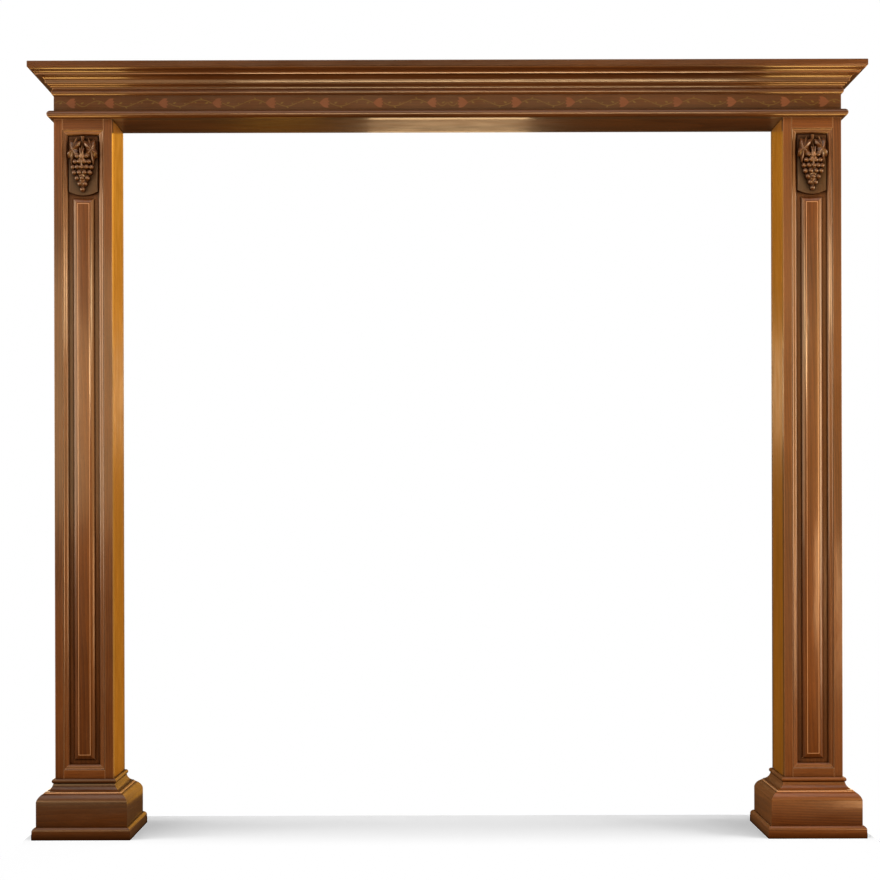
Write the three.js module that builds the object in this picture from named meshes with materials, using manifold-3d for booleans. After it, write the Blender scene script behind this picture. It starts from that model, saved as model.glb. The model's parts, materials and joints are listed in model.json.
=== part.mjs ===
// A free-standing classical portal in walnut, with no leaf: two panelled posts on moulded
// plinths carry an entablature whose frieze is flush with the posts.
// Millimetres, +Z up, the front faces -Y, origin on the floor in the middle of the doorway.
import * as THREE from 'three';
import { mergeVertices } from 'three/addons/utils/BufferGeometryUtils.js';
import Module from 'manifold-3d';

const wasm = await Module();
wasm.setup();

// Carcass
const portalWidth = 2600;
const postWidth = 192;
const postDepth = 220;
const doorwayHeight = 2370;
const boardThickness = 22;
const jointGap = 0.3;

// Front frame of a post: stiles, rails and the moulding planted in its opening
const frameThickness = 28;
const stileWidth = 28;
const topRailHeight = 36;
const bottomRailShow = 28;
const recessDepth = 16;
const frameMouldWidth = 17;
const quirkWidth = 1.4;
const quirkDepth = 3;
const grooveSlant = 0.8;
const stripWidth = 6.5;
const stripSink = 1.5;
const stripFall = 2.5;
const stripSag = 0.8;
const beadGroove = 1;
const beadDrop = 6;
const beadBulge = 2.6;

// Raised and fielded panel, and the niche for the carving above it
const channelWidth = 15;
const slopeWidth = 18;
const fieldRise = 12;
const slopeBulge = 2.4;
const nicheHeight = 225;

// Plaque with a rounded foot
const plaqueMargin = 3;
const plaqueThickness = 10;
const plaqueGap = 8;
const plaqueSag = 13;
const plaqueEdge = 2.5;

// Carved bunch of grapes under vine leaves, one piece of wood
const carvingProud = 33;
const grapeRadius = 8.8;
const grapePitch = 16.4;
const grapeStretch = 1.12;
const grapeTurn = 0.2;
const rowPitch = 17.8;
const grapesInRow = [1, 2, 3, 4, 5, 4, 3];
const firstGrapeRise = 20;
const rowsToFullSwell = 4;
const upperRowCrowding = 0.88;
const heartTaper = 0.34;
const heartFill = 0.86;
const sideLeafLength = 41;
const sideLeafWidth = 22;
const sideLeafRise = 17;
const sideLeafTurn = 0.25;
const sideLeafLean = 0.16;
const middleLeafLength = 33;
const middleLeafWidth = 9;
const middleLeafRise = 9;
const leafOverStem = 2;
const leafRings = 6;
const leafUnderside = 0.6;
const lobeAngle = 65;
const lobeDepth = 0.17;
const lobeRidge = 0.3;
const stemRadius = 6;
const stemFlare = 1.3;

// Plinths
const plinthWall = 25;
const blockHeight = 122;
const blockProjection = 53;
const baseHeight = 40;
const baseProjection = 65;
const baseRoundHeight = 13;
const baseRoundBulge = 2.8;
const baseTopLand = 1.2;
const ovoloHeight = 28;
const ovoloFoot = 30;
const ovoloBulge = 4;
const filletHeight = 3;
const filletProjection = 27;
const cavettoHeight = 23;
const cavettoTop = 6;
const cavettoSag = 5;
const neckHeight = 16;
const neckProjection = 10;
const neckLip = 2.5;

// Entablature
const astragalHeight = 26;
const astragalProjection = 20;
const astragalLip = 7.4;
const friezeShow = 51;
const bedBeadHeight = 18;
const bedBeadProjection = 8.6;
const bedBeadLip = 2;
const bedNeckHeight = 7;
const bedNeckProjection = 4;
const bedOgeeHeight = 11;
const bedOgeeProjection = 17.6;
const bedOgeeBend = 0.9;
const crownFilletHeight = 6;
const crownFilletProjection = 24;
const coveHeight = 16;
const coveProjection = 40.5;
const coveSag = 4;
const dripProjection = 51;
const dripHeight = 4;
const dripLip = 1;
const cymaHeight = 16;
const cymaProjection = 70;
const cymaBend = 1.8;
const capThickness = 20;
const capProjection = 73;
const capEase = 2;

// Straight steps that stand for a large, a usual and a small round stretch
const largeSteps = 12;
const roundSteps = 8;
const smallSteps = 4;

// Places that follow from the sizes
const frontY = -postDepth / 2;
const backY = postDepth / 2;
const outerX = portalWidth / 2;
const postX = (portalWidth - postWidth) / 2;
const postTop = doorwayHeight - jointGap;
const plinthHeight = blockHeight + ovoloHeight + filletHeight + cavettoHeight + neckHeight;
const openingWidth = postWidth - 2 * stileWidth;
const openingBottom = plinthHeight + bottomRailShow;
const openingTop = doorwayHeight - topRailHeight;
const openingHeight = openingTop - openingBottom;
const groundY = frontY + recessDepth;
const fieldBottom = openingBottom + frameMouldWidth + channelWidth;
const fieldTop = openingTop - nicheHeight;
const friezeBottom = doorwayHeight + astragalHeight;
const bedBottom = friezeBottom + friezeShow;
const crownBottom = bedBottom + bedBeadHeight + bedNeckHeight + bedOgeeHeight;
const capBottom = crownBottom + crownFilletHeight + coveHeight + dripHeight + cymaHeight;

// Directions
const right = new THREE.Vector3(1, 0, 0);
const left = new THREE.Vector3(-1, 0, 0);
const forward = new THREE.Vector3(0, -1, 0);
const backward = new THREE.Vector3(0, 1, 0);
const up = new THREE.Vector3(0, 0, 1);
const down = new THREE.Vector3(0, 0, -1);

// Colours of the stained and lacquered wood
const walnut = { color: 0x67402a, roughness: 0.3 };
const darkWalnut = { color: 0x55331f, roughness: 0.32 };
const warmWalnut = { color: 0x7d4c28, roughness: 0.28 };
const goldenWalnut = { color: 0x9a6a2c, roughness: 0.28 };
const inlaidWalnut = { color: 0x5e3a24, roughness: 0.3 };
const plainWalnut = { color: 0x5f3d28, roughness: 0.42 };

const portal = new THREE.Group();

function addPiece(name, geometry, finish) {
  const material = new THREE.MeshStandardMaterial({ metalness: 0, ...finish });
  const piece = new THREE.Mesh(geometry, material);
  piece.name = name;
  portal.add(piece);
  return piece;
}

// A straight board between two corners
function addBoard(name, low, high, finish) {
  const size = high.map((value, axis) => value - low[axis]);
  const middle = high.map((value, axis) => (value + low[axis]) / 2);
  const board = addPiece(name, new THREE.BoxGeometry(...size), finish);
  board.position.set(...middle);
  return board;
}

// Points of a round stretch from one corner of a profile to the next. A positive bulge
// swells to the right of the way it runs, a negative one hollows.
function bow(from, to, bulge, steps) {
  const run = [to[0] - from[0], to[1] - from[1]];
  const chord = Math.hypot(run[0], run[1]);
  const along = [run[0] / chord, run[1] / chord];
  const aside = [along[1], -along[0]];
  const rise = Math.abs(bulge);
  const radius = (chord * chord / 4 + rise * rise) / (2 * rise);
  const half = Math.atan2(chord / 2, radius - rise);
  const points = [];
  for (let step = 1; step <= steps; step += 1) {
    const angle = -half + (2 * half * step) / steps;
    const forwardBy = chord / 2 + radius * Math.sin(angle);
    const asideBy = Math.sign(bulge) * (radius * Math.cos(angle) - (radius - rise));
    points.push([
      from[0] + along[0] * forwardBy + aside[0] * asideBy,
      from[1] + along[1] * forwardBy + aside[1] * asideBy,
    ]);
  }
  return points;
}

// An S-shaped stretch: it hollows by bend, then swells by as much
function ogee(from, to, bend, steps) {
  const middle = [(from[0] + to[0]) / 2, (from[1] + to[1]) / 2];
  return [...bow(from, middle, -bend, steps), ...bow(middle, to, bend, steps)];
}

// A moulding cut to length with mitred ends. Profile points are (out, rise). An outside
// mitre makes the length grow with out, an inside one makes it shrink.
function mitredLength(profile, run, mitre) {
  const shape = new THREE.Shape(profile.map(([out, rise]) => new THREE.Vector2(out, rise)));
  const geometry = new THREE.ExtrudeGeometry(shape, { depth: 1, bevelEnabled: false });
  const place = geometry.attributes.position;
  for (let index = 0; index < place.count; index += 1) {
    const end = place.getZ(index) > 0.5 ? 0.5 : -0.5;
    place.setZ(index, end * (run + 2 * mitre * place.getX(index) - jointGap));
  }
  geometry.computeVertexNormals();
  return geometry;
}

// Turns a moulding so that its profile runs out and rises as told, with its middle at a place
function addMoulding(name, geometry, middle, out, rise, finish) {
  const piece = addPiece(name, geometry, finish);
  const along = new THREE.Vector3().crossVectors(out, rise);
  piece.quaternion.setFromRotationMatrix(new THREE.Matrix4().makeBasis(out, rise, along));
  piece.position.set(...middle);
  return piece;
}

// A profile of (projection, height) points taken round a rectangle, with mitred corners.
// A point whose projection is null lies on the middle axis.
function squareTurned(profile, halfX, halfY) {
  const spokes = profile.map(([out, rise]) => new THREE.Vector2(out === null ? 0 : 1, rise));
  const geometry = new THREE.LatheGeometry(spokes, 4, Math.PI / 4);
  const place = geometry.attributes.position;
  for (let index = 0; index < place.count; index += 1) {
    const [out, rise] = profile[index % profile.length];
    const signX = Math.sign(place.getX(index));
    const signY = -Math.sign(place.getZ(index));
    const x = out === null ? 0 : signX * (halfX + out);
    const y = out === null ? 0 : signY * (halfY + out);
    place.setXYZ(index, x, y, rise);
  }
  geometry.computeVertexNormals();
  return geometry;
}

function toSolid(geometry) {
  const bare = geometry.clone();
  bare.deleteAttribute('normal');
  bare.deleteAttribute('uv');
  const welded = mergeVertices(bare);
  const mesh = new wasm.Mesh({
    numProp: 3,
    vertProperties: Float32Array.from(welded.attributes.position.array),
    triVerts: Uint32Array.from(welded.index.array),
  });
  return new wasm.Manifold(mesh);
}

function toGeometry(solid) {
  const mesh = solid.getMesh();
  const geometry = new THREE.BufferGeometry();
  geometry.setAttribute('position', new THREE.BufferAttribute(mesh.vertProperties, 3));
  geometry.setIndex(new THREE.BufferAttribute(mesh.triVerts, 1));
  geometry.computeVertexNormals();
  return geometry;
}

// Profile of the moulding in the frame's opening, from the ground of the recess up:
// a bead, a groove, a hollow strip and a quirk against the stile
function frameMouldProfile() {
  const stripTop = [quirkWidth + grooveSlant, recessDepth - stripSink];
  const stripFoot = [stripTop[0] + stripWidth, stripTop[1] - stripFall];
  const beadTop = [stripFoot[0] + grooveSlant, stripFoot[1]];
  const beadFoot = [frameMouldWidth, beadTop[1] - beadDrop];
  return [
    [jointGap, jointGap],
    [frameMouldWidth, jointGap],
    beadFoot,
    ...bow(beadFoot, beadTop, beadBulge, smallSteps),
    [stripFoot[0], stripFoot[1] - beadGroove],
    stripFoot,
    ...bow(stripFoot, stripTop, -stripSag, smallSteps),
    [quirkWidth, recessDepth - quirkDepth],
    [jointGap, recessDepth - quirkDepth],
  ];
}

function astragalProfile() {
  const top = astragalHeight - jointGap;
  return [
    [jointGap, jointGap],
    [astragalLip, jointGap],
    ...bow([astragalLip, jointGap], [astragalLip, top], astragalProjection - astragalLip,
      largeSteps),
    [jointGap, top],
  ];
}

function bedProfile() {
  const beadTop = bedBeadHeight;
  const neckTop = beadTop + bedNeckHeight;
  const top = neckTop + bedOgeeHeight;
  const beadFoot = [bedBeadLip, 0];
  const beadBulgeOut = bedBeadProjection - bedNeckProjection;
  const ogeeFoot = [bedBeadProjection, neckTop];
  return [
    [jointGap, 0],
    beadFoot,
    ...bow(beadFoot, [bedNeckProjection, beadTop], beadBulgeOut, roundSteps),
    [bedNeckProjection, neckTop],
    ogeeFoot,
    ...ogee(ogeeFoot, [bedOgeeProjection, top], bedOgeeBend, smallSteps),
    [jointGap, top],
  ];
}

function crownProfile() {
  const coveFoot = [crownFilletProjection, crownFilletHeight];
  const coveTop = [coveProjection, crownFilletHeight + coveHeight];
  const dripFoot = coveTop[1];
  const cymaFoot = [dripProjection + dripLip, dripFoot + dripHeight];
  const cymaTop = [cymaProjection, cymaFoot[1] + cymaHeight - jointGap];
  return [
    [jointGap, jointGap],
    [crownFilletProjection, jointGap],
    coveFoot,
    ...bow(coveFoot, coveTop, -coveSag, roundSteps),
    [dripProjection, dripFoot],
    [dripProjection, cymaFoot[1]],
    cymaFoot,
    ...ogee(cymaFoot, cymaTop, cymaBend, smallSteps),
    [jointGap, cymaTop[1]],
  ];
}

function addPost(sideName, side) {
  const axisX = side * postX;
  const halfWidth = postWidth / 2;
  const between = openingWidth / 2 - jointGap;
  const frameBackY = frontY + frameThickness;

  // Stiles and rails
  [['outer', side], ['inner', -side]].forEach(([place, away]) => {
    const near = axisX + away * (halfWidth - stileWidth);
    const far = axisX + away * halfWidth;
    const low = [Math.min(near, far), frontY, 0];
    const high = [Math.max(near, far), frameBackY, postTop];
    addBoard(`${sideName}_post_${place}_stile`, low, high, walnut);
  });
  addBoard(`${sideName}_post_bottom_rail`, [axisX - between, frontY, 0],
    [axisX + between, frameBackY, openingBottom], walnut);
  addBoard(`${sideName}_post_top_rail`, [axisX - between, frontY, openingTop],
    [axisX + between, frameBackY, postTop], walnut);

  // Moulding in the opening, four lengths mitred inside the corner
  const upright = mitredLength(frameMouldProfile(), openingHeight, -1);
  const level = mitredLength(frameMouldProfile(), openingWidth, -1);
  const middleZ = (openingBottom + openingTop) / 2;
  const outward = side > 0 ? right : left;
  const inward = side > 0 ? left : right;
  const edge = openingWidth / 2;
  addMoulding(`${sideName}_post_outer_moulding`, upright.clone(),
    [axisX + side * edge, groundY, middleZ], inward, forward, warmWalnut);
  addMoulding(`${sideName}_post_inner_moulding`, upright.clone(),
    [axisX - side * edge, groundY, middleZ], outward, forward, warmWalnut);
  addMoulding(`${sideName}_post_bottom_moulding`, level.clone(),
    [axisX, groundY, openingBottom], up, forward, warmWalnut);
  addMoulding(`${sideName}_post_top_moulding`, level.clone(),
    [axisX, groundY, openingTop], down, forward, warmWalnut);

  addPanel(sideName, axisX);
  addPlaque(sideName, axisX);
  addCarving(sideName, axisX);

  // Boards that close the box behind the frame. They stop above the plinth, so that their
  // faces are clear over their whole height; the stiles and the bottom rail reach the floor.
  const boxFoot = plinthHeight + jointGap;
  const boxFront = frameBackY + jointGap;
  const boxBack = backY - boardThickness - jointGap;
  [['reveal_board', -side, goldenWalnut], ['outer_board', side, walnut]].forEach(
    ([place, away, finish]) => {
      const near = axisX + away * (halfWidth - boardThickness);
      const far = axisX + away * halfWidth;
      addBoard(`${sideName}_post_${place}`, [Math.min(near, far), boxFront, boxFoot],
        [Math.max(near, far), boxBack, postTop], finish);
    });
  addBoard(`${sideName}_post_back_board`, [axisX - halfWidth, backY - boardThickness, boxFoot],
    [axisX + halfWidth, backY, postTop], plainWalnut);
}

// The raised and fielded panel: a thin board that fills the frame's opening, with a tall
// field whose edges are rounded slopes
function addPanel(sideName, axisX) {
  const boardHalf = openingWidth / 2 - jointGap;
  const boardBack = frameThickness - recessDepth;
  const boardTall = openingHeight / 2 - jointGap;
  const field = squareTurned([
    [null, -boardBack / 2],
    [slopeWidth, -boardBack / 2],
    [slopeWidth, 0],
    ...bow([slopeWidth, 0], [0, fieldRise], slopeBulge, smallSteps),
    [null, fieldRise],
  ], openingWidth / 2 - frameMouldWidth - channelWidth - slopeWidth,
  (fieldTop - fieldBottom) / 2 - slopeWidth);
  field.translate(0, (fieldTop + fieldBottom) / 2 - (openingBottom + openingTop) / 2, 0);
  const board = new THREE.BoxGeometry(2 * boardHalf, 2 * boardTall, boardBack);
  board.translate(0, 0, -boardBack / 2);
  const geometry = toGeometry(toSolid(board).add(toSolid(field)));
  const panel = addPiece(`${sideName}_post_raised_panel`, geometry, warmWalnut);
  panel.rotation.x = Math.PI / 2;
  panel.position.set(axisX, groundY, (openingBottom + openingTop) / 2);
}

const plaqueHalf = openingWidth / 2 - frameMouldWidth - plaqueMargin;
const plaqueTop = openingTop - frameMouldWidth - plaqueMargin;
const plaqueFoot = fieldTop + plaqueGap;
const plaqueFaceY = groundY - plaqueThickness - jointGap;

function addPlaque(sideName, axisX) {
  const shoulder = plaqueFoot + plaqueSag;
  const foot = bow([-plaqueHalf, shoulder], [plaqueHalf, shoulder], plaqueSag, largeSteps);
  const outline = [[-plaqueHalf, shoulder], ...foot, [plaqueHalf, plaqueTop],
    [-plaqueHalf, plaqueTop]];
  const shape = new THREE.Shape(outline.map(([x, z]) => new THREE.Vector2(x, z)));
  const geometry = new THREE.ExtrudeGeometry(shape, {
    depth: plaqueThickness - 2 * plaqueEdge,
    bevelEnabled: true,
    bevelThickness: plaqueEdge,
    bevelSize: plaqueEdge,
    bevelOffset: -plaqueEdge,
    bevelSegments: 2,
  });
  const plaque = addPiece(`${sideName}_post_capital_plaque`, geometry, walnut);
  plaque.rotation.x = Math.PI / 2;
  plaque.position.set(axisX, plaqueFaceY + plaqueThickness - plaqueEdge, 0);
}

// A lobed vine leaf: a flattened ball whose waist follows the lobes. It lies in the XY
// plane with its tip towards -Y and swells towards +Z, with a ridge along each lobe.
function leafGeometry(length, width, rise, around) {
  const geometry = new THREE.SphereGeometry(1, around, leafRings);
  geometry.rotateX(Math.PI / 2);
  const place = geometry.attributes.position;
  const lobes = 360 / lobeAngle;
  for (let index = 0; index < place.count; index += 1) {
    const x = place.getX(index);
    const y = place.getY(index);
    const z = place.getZ(index);
    const lobe = Math.cos(lobes * Math.atan2(x, -y)) * Math.hypot(x, y);
    const edge = 1 + lobeDepth * lobe;
    const swell = z > 0 ? 1 + lobeRidge * lobe : leafUnderside;
    place.setXYZ(index, x * edge * width, y * edge * length, z * rise * swell);
  }
  return geometry;
}

// The wood between and behind the grapes: a ball drawn out downwards to a point
function heartGeometry(foot, top, halfWidth, deep) {
  const geometry = new THREE.SphereGeometry(1, 10, leafRings);
  const place = geometry.attributes.position;
  const halfTall = (top - foot) / 2;
  for (let index = 0; index < place.count; index += 1) {
    const climb = place.getY(index);
    const narrow = 1 - heartTaper + heartTaper * climb;
    place.setX(index, place.getX(index) * narrow * halfWidth * heartFill);
    place.setZ(index, place.getZ(index) * deep);
    place.setY(index, foot + (climb + 1) * halfTall);
  }
  return geometry;
}

// Grapes, leaves and stem joined and cut flat at the back. Local X runs across the post,
// local Y up from the foot of the plaque, local Z out of its face.
function carvingGeometry() {
  const rows = grapesInRow.length;
  const halfBunch = (Math.max(...grapesInRow) * grapePitch) / 2;
  const bunchTop = firstGrapeRise + (rows - 1) * rowPitch;
  const shallow = grapeRadius / 2;
  const deepest = carvingProud - grapeRadius;
  const heart = heartGeometry(firstGrapeRise, bunchTop, halfBunch, deepest);
  let carving = toSolid(heart);

  // The bunch swells from its tip up, and each row is proudest in the middle
  const grape = new THREE.SphereGeometry(grapeRadius, 8, 5);
  grape.rotateX(Math.PI / 2);
  grape.scale(1, grapeStretch, 1);
  grapesInRow.forEach((count, row) => {
    const swell = Math.min(1, (row + 1) / rowsToFullSwell);
    const pitch = row < rowsToFullSwell ? grapePitch : grapePitch * upperRowCrowding;
    for (let place = 0; place < count; place += 1) {
      const x = (place - (count - 1) / 2) * pitch;
      const crown = Math.sqrt(1 - (x / halfBunch) ** 2);
      const z = shallow + (deepest - shallow) * swell * crown;
      const berry = grape.clone();
      berry.rotateZ(grapeTurn * (place + row));
      berry.translate(x, firstGrapeRise + row * rowPitch, z);
      carving = carving.add(toSolid(berry));
    }
  });

  const leafMiddle = bunchTop + sideLeafLength / 2;
  const leafAside = sideLeafWidth + stemRadius - leafOverStem;
  [-1, 1].forEach((hand) => {
    const leaf = leafGeometry(sideLeafLength, sideLeafWidth, sideLeafRise, 22);
    leaf.rotateY(hand * sideLeafTurn);
    leaf.rotateZ(hand * sideLeafLean);
    leaf.translate(hand * leafAside, leafMiddle, sideLeafRise / 2);
    carving = carving.add(toSolid(leaf));
  });
  const middleLeaf = leafGeometry(middleLeafLength, middleLeafWidth, middleLeafRise, 14);
  middleLeaf.translate(0, bunchTop, deepest);
  carving = carving.add(toSolid(middleLeaf));

  const stemTop = plaqueTop - plaqueFoot - plaqueMargin;
  const stemRise = stemTop - leafMiddle + stemRadius;
  const stem = new THREE.CylinderGeometry(stemRadius, stemRadius * stemFlare, stemRise, 8);
  stem.translate(0, stemTop - stemRise / 2, stemRadius);
  carving = carving.add(toSolid(stem));

  const block = new THREE.BoxGeometry(2 * plaqueHalf, stemTop, 2 * carvingProud);
  block.translate(0, stemTop / 2, carvingProud + jointGap);
  return toGeometry(carving.intersect(toSolid(block)));
}

const carvedBunch = carvingGeometry();

function addCarving(sideName, axisX) {
  const carving = addPiece(`${sideName}_post_grape_carving`, carvedBunch.clone(), darkWalnut);
  carving.rotation.x = Math.PI / 2;
  carving.position.set(axisX, plaqueFaceY, plaqueFoot);
}

// A plinth is a hollow box round the foot of the post: the block, a moulding at its foot,
// the moulded cap that closes in on the post, and a bead
function addPlinth(sideName, side) {
  const rings = {
    plinth_block: [
      [blockProjection - plinthWall, 0],
      [blockProjection, 0],
      [blockProjection, blockHeight - jointGap],
      [blockProjection - plinthWall, blockHeight - jointGap],
    ],
    plinth_base_mould: baseRing(),
    plinth_cap_mould: capRing(),
    plinth_neck_bead: neckRing(),
  };
  Object.entries(rings).forEach(([name, profile]) => {
    const geometry = squareTurned([...profile, profile[0]], postWidth / 2, postDepth / 2);
    const ring = addPiece(`${sideName}_${name}`, geometry, warmWalnut);
    ring.position.x = side * postX;
  });
}

function baseRing() {
  const inside = blockProjection + jointGap;
  const roundFoot = [baseProjection, baseHeight - baseRoundHeight];
  const roundTop = [inside + baseTopLand, baseHeight];
  return [
    [inside, 0],
    [baseProjection, 0],
    roundFoot,
    ...bow(roundFoot, roundTop, baseRoundBulge, smallSteps),
    [inside, baseHeight],
  ];
}

function capRing() {
  const ovoloTop = blockHeight + ovoloHeight;
  const cavettoFoot = [filletProjection, ovoloTop + filletHeight];
  const cavettoEnd = [cavettoTop, cavettoFoot[1] + cavettoHeight - jointGap];
  return [
    [jointGap, blockHeight],
    [blockProjection, blockHeight],
    ...bow([blockProjection, blockHeight], [ovoloFoot, ovoloTop], ovoloBulge, roundSteps),
    [filletProjection, ovoloTop],
    cavettoFoot,
    ...bow(cavettoFoot, cavettoEnd, -cavettoSag, roundSteps),
    [jointGap, cavettoEnd[1]],
  ];
}

function neckRing() {
  const foot = plinthHeight - neckHeight;
  const bulge = neckProjection - neckLip;
  return [
    [jointGap, foot],
    [neckLip, foot],
    ...bow([neckLip, foot], [neckLip, plinthHeight], bulge, roundSteps),
    [jointGap, plinthHeight],
  ];
}

// The head is a box on the two posts, with its mouldings planted round it
function addHead() {
  const headTop = capBottom - jointGap;
  const insideY = backY - boardThickness - jointGap;
  const soffitHalf = outerX - postWidth - jointGap;
  addBoard('head_front_frieze_board', [-outerX, frontY, doorwayHeight],
    [outerX, frontY + boardThickness, headTop], inlaidWalnut);
  addBoard('head_back_frieze_board', [-outerX, backY - boardThickness, doorwayHeight],
    [outerX, backY, headTop], plainWalnut);
  addBoard('head_left_end_board', [-outerX, -insideY, doorwayHeight],
    [boardThickness - outerX, insideY, headTop], walnut);
  addBoard('head_right_end_board', [outerX - boardThickness, -insideY, doorwayHeight],
    [outerX, insideY, headTop], walnut);
  addBoard('head_soffit_board', [-soffitHalf, -insideY, doorwayHeight],
    [soffitHalf, insideY, doorwayHeight + boardThickness], goldenWalnut);

  const courses = [
    ['astragal', astragalProfile(), doorwayHeight, warmWalnut],
    ['bed_mould', bedProfile(), bedBottom, walnut],
    ['crown_mould', crownProfile(), crownBottom, walnut],
  ];
  courses.forEach(([name, profile, foot, finish]) => {
    const long = mitredLength(profile, portalWidth, 1);
    const short = mitredLength(profile, postDepth, 1);
    addMoulding(`front_${name}`, long.clone(), [0, frontY, foot], forward, up, finish);
    addMoulding(`back_${name}`, long.clone(), [0, backY, foot], backward, up, finish);
    addMoulding(`left_${name}`, short.clone(), [-outerX, 0, foot], left, up, finish);
    addMoulding(`right_${name}`, short.clone(), [outerX, 0, foot], right, up, finish);
  });

  const capTop = capBottom + capThickness;
  const cap = squareTurned([
    [null, capBottom],
    [capProjection - capEase, capBottom],
    [capProjection, capBottom + capEase],
    [capProjection, capTop - capEase],
    [capProjection - capEase, capTop],
    [null, capTop],
  ], outerX, backY);
  addPiece('head_cap_board', cap, walnut);
}

[['left', -1], ['right', 1]].forEach(([sideName, side]) => {
  addPost(sideName, side);
  addPlinth(sideName, side);
});
addHead();

export default portal;
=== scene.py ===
import json
import math
import random

import bmesh
import bpy
from bpy.props import FloatProperty, FloatVectorProperty, IntProperty, PointerProperty
from mathutils import Matrix, Vector
from mathutils.geometry import delaunay_2d_cdt

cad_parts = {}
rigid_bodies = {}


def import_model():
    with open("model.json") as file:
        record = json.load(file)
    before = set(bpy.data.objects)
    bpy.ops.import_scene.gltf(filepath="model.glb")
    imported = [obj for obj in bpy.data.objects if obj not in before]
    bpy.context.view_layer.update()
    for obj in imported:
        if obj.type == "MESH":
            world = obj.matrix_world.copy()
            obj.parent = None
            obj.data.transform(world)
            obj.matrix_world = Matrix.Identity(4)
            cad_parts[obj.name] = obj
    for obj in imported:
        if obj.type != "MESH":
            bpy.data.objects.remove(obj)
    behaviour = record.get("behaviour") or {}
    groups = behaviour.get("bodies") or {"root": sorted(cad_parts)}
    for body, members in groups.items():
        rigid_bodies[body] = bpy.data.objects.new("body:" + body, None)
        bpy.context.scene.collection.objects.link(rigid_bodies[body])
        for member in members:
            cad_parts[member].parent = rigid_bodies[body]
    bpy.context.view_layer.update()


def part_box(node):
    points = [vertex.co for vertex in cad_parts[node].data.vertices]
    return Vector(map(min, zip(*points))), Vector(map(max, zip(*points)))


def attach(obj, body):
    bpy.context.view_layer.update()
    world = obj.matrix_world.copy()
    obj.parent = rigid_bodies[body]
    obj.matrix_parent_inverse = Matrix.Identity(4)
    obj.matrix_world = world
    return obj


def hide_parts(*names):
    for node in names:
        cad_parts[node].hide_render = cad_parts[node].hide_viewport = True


bl_info = {
    "name": "Walnut portal",
    "version": (1, 0, 0),
    "blender": (4, 5, 0),
    "location": "3D View > Sidebar > Portal",
    "description": "Dresses a free-standing door frame with carved posts and an inlaid frieze",
    "category": "Object",
}

MM = 0.001
ACROSS = Vector((1, 0, 0))
DEEP = Vector((0, 1, 0))
UPRIGHT = Vector((0, 0, 1))
SIDES = (("left", -1), ("right", 1))

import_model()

# The opening in a post's frame and the places in it that the CAD boxes give, then the gap
# between neighbours, the width of the frame's mouldings, how far a panel's field starts below
# the opening's top, and how high the cornice's drip edge and a plinth's nose are
POST_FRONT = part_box("left_post_outer_stile")[0].y / MM
STILE_WIDTH = (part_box("left_post_outer_stile")[1].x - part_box("left_post_outer_stile")[0].x) / MM
POST_WIDTH = (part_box("left_post_back_board")[1].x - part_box("left_post_back_board")[0].x) / MM
POST_DEPTH = -2 * POST_FRONT
POST_X = (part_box("right_post_back_board")[1].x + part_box("right_post_back_board")[0].x) / 2 / MM
OPENING_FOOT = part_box("left_post_bottom_rail")[1].z / MM
OPENING_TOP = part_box("left_post_top_rail")[0].z / MM
GROUND_Y = POST_FRONT + 16
GAP = 0.3
MOULD_WIDTH = 17
FIELD_HEAD_DROP = 225
DRIP_RISE = 24
NOSE_RISE = (147.9, 150.4)

# Outlines of the mouldings as (out, rise) corners. A third number makes the stretch that
# leads to the corner an arc which swells, or hollows where negative, by that much.
FRAME_MOULD = (
    (0.3, 0.3), (17, 0.3), (17, 5), (15.2, 8.8, 0.8), (9.2, 12.2, 0.9), (8.7, 11), (8.7, 12),
    (2.2, 14.5, -0.8), (1.4, 13), (0.3, 13),
)
ASTRAGAL = ((0.3, 0.3), (7.4, 0.3), (7.4, 25.7, 12.6), (0.3, 25.7))
BED_MOULD = (
    (0.3, 0), (2, 0), (4, 18, 4.6), (4, 25), (8.6, 25), (13.1, 30.5, -0.9), (17.6, 36, 0.9),
    (0.3, 36),
)
CROWN_MOULD = (
    (0.3, 0.3), (24, 0.3), (24, 6), (40.5, 22, -4), (51, 22), (51, 26), (52, 26),
    (61, 33.85, -1.8), (70, 41.7, 1.8), (0.3, 41.7),
)
PLINTH_BLOCK = ((28, 0), (53, 0), (53, 121.7), (28, 121.7))
PLINTH_BASE = ((53.3, 0), (65, 0), (65, 27), (54.5, 40, 2.8), (53.3, 40))
PLINTH_CAP = (
    (0.3, 122), (53, 122), (31, 148, 4), (30, 150.2, 0.5), (27, 150.2), (27, 153),
    (6, 175.7, -5), (0.3, 175.7),
)
PLINTH_NECK = ((0.3, 176), (2.5, 176), (2.5, 192, 7.5), (0.3, 192))


def linear(code):
    """Turns an sRGB hex value into the linear colour that shaders and lights take"""
    shares = [int(code[place:place + 2], 16) / 255 for place in (1, 3, 5)]
    return tuple(s / 12.92 if s <= 0.04045 else ((s + 0.055) / 1.055) ** 2.4 for s in shares)


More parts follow.
